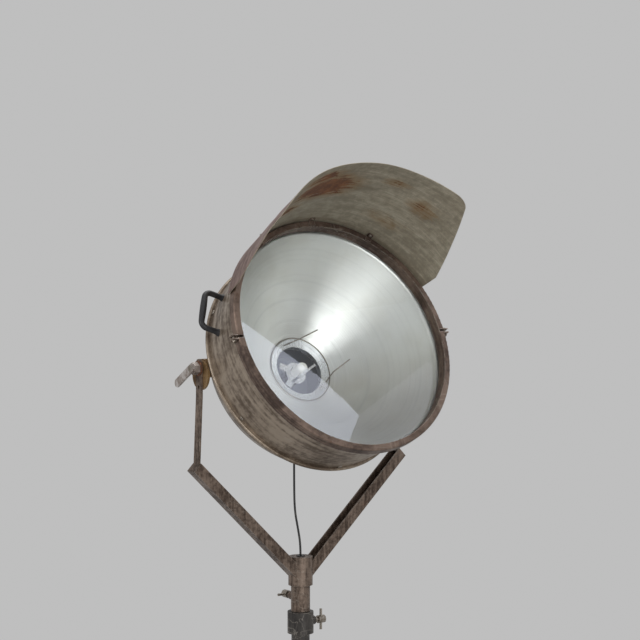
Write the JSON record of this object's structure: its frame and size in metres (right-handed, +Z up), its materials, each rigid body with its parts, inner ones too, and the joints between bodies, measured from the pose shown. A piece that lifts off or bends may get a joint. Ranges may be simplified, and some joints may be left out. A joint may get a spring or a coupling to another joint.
{
  "type": "tripod spotlight floor lamp",
  "caption": "Large round spotlight head with a glass front and curved visor, held in a forked yoke that tilts and pans on a telescopic mast with folding tripod legs and a power cord.",
  "frame": {"origin": "on the floor, on the axis of the column, midway between the three feet", "axes": "+Z up along the column; -Y the way the lamp shines; +X to the right of someone who stands behind the lamp and looks along +Y from its front, so the tilt pivot runs along X"},
  "size_m": [0.8178, 0.8046, 1.9118],
  "materials": {
    "tripod_steel": "semi-gloss black, worn",
    "mast_steel": "bright plated, lightly worn",
    "yoke_steel": "aged grey-brown paint over steel",
    "drum_steel": "aged grey-brown steel with rust",
    "bezel_steel": "red-brown rusted steel",
    "visor_steel": "grey-green sheet with rust patches",
    "reflector_metal": "bright spun",
    "lamp_metal": "polished",
    "glass": "clear, domed",
    "bulb_glass": "frosted",
    "bulb_metal": "plain",
    "lampholder": "dark moulded",
    "dark_plastic": "black moulded",
    "handle_black": "black coated",
    "seal_rubber": "matt",
    "cord_rubber": "matt black",
    "screw_steel": "dull",
    "trunnion_brass": "aged",
    "nut_steel": "rusty",
    "lever_steel": "grey bar"
  },
  "bodies": {
    "base": {"outer_tube": "tripod_steel", "mast_bush": "dark_plastic", "clamp_collar": "tripod_steel", "leg_hub": "tripod_steel", "hinge_bolts": "screw_steel", "column_end_plug": "tripod_steel", "cord_in_column": "cord_rubber", "cord_floor": "cord_rubber", "cord_coil": "cord_rubber", "cord_tie": "dark_plastic", "cord_tail": "cord_rubber", "plug_body": "dark_plastic", "plug_pins": "trunnion_brass"},
    "mast": {"mast_tube": "mast_steel"},
    "yoke": {"yoke_arm_left": "yoke_steel", "yoke_arm_right": "yoke_steel", "yoke_hub": "yoke_steel", "yoke_grommet": "dark_plastic", "pivot_washers": "nut_steel", "cord_head_stretch": "cord_rubber"},
    "head": {"housing_drum": "drum_steel", "back_shell": "drum_steel", "shell_screws": "screw_steel", "rear_cover": "drum_steel", "cover_screws": "screw_steel", "reflector": "reflector_metal", "front_glass": "glass", "glass_seal": "seal_rubber", "bezel_upper": "bezel_steel", "bezel_lower": "bezel_steel", "bezel_screws": "screw_steel", "neck_collar": "lamp_metal", "lamp_cup": "lamp_metal", "lampholder": "lampholder", "bulb_cap": "bulb_metal", "bulb_globe": "bulb_glass", "lamp_bracket": "lamp_metal", "bulb_clip": "lamp_metal", "spring_wire": "screw_steel", "visor": "visor_steel", "visor_tabs": "visor_steel", "visor_screws": "screw_steel", "carry_handle": "handle_black", "handle_screws": "screw_steel", "trunnion_left": "trunnion_brass", "trunnion_right": "trunnion_brass", "pivot_studs": "screw_steel", "friction_discs": "trunnion_brass", "pivot_nut": "nut_steel", "cable_gland": "dark_plastic", "inner_lead": "cord_rubber"},
    "tilt_lever": {"tilt_lever": "lever_steel"},
    "pan_lock": {"pan_lock_screw": "screw_steel"},
    "height_lock": {"height_lock_screw": "screw_steel"},
    "leg_front": {"leg_front": "tripod_steel", "foot_front": "seal_rubber"},
    "leg_left": {"leg_left": "tripod_steel", "foot_left": "seal_rubber"},
    "leg_right": {"leg_right": "tripod_steel", "foot_right": "seal_rubber"}
  },
  "joints": [
    {"name": "mast_slide", "type": "slide", "parent": "base", "child": "mast", "axis": [0, 0, 1], "range_m": [0, 0.35]},
    {"name": "pan", "type": "hinge", "parent": "mast", "child": "yoke", "pos_m": [0, 0, 0.954], "axis": [0, 0, 1], "range_deg": [-170, 170]},
    {"name": "tilt", "type": "hinge", "parent": "yoke", "child": "head", "pos_m": [0, 0, 1.462], "axis": [-1, 0, 0], "range_deg": [-62, 63], "deforming": ["cord_head_stretch"]},
    {"name": "tilt_lever_turn", "type": "hinge", "parent": "yoke", "child": "tilt_lever", "pos_m": [-0.29, 0, 1.462], "axis": [-1, 0, 0], "range_deg": [-50, 50]},
    {"name": "pan_lock_turn", "type": "hinge", "parent": "yoke", "child": "pan_lock", "pos_m": [0, 0.04, 0.924], "axis": [0, 1, 0], "range_deg": [-60, 150]},
    {"name": "height_lock_turn", "type": "hinge", "parent": "base", "child": "height_lock", "pos_m": [0.04, 0, 0.868], "axis": [1, 0, 0], "range_deg": [-60, 150]},
    {"name": "leg_front_fold", "type": "hinge", "parent": "base", "child": "leg_front", "pos_m": [0, -0.055, 0.655], "axis": [1, 0, 0], "range_deg": [0, 31]},
    {"name": "leg_right_fold", "type": "hinge", "parent": "base", "child": "leg_right", "pos_m": [0.04763, 0.0275, 0.655], "axis": [-0.5, 0.866, 0], "range_deg": [0, 31]},
    {"name": "leg_left_fold", "type": "hinge", "parent": "base", "child": "leg_left", "pos_m": [-0.04763, 0.0275, 0.655], "axis": [-0.5, -0.866, 0], "range_deg": [0, 31]}
  ]
}
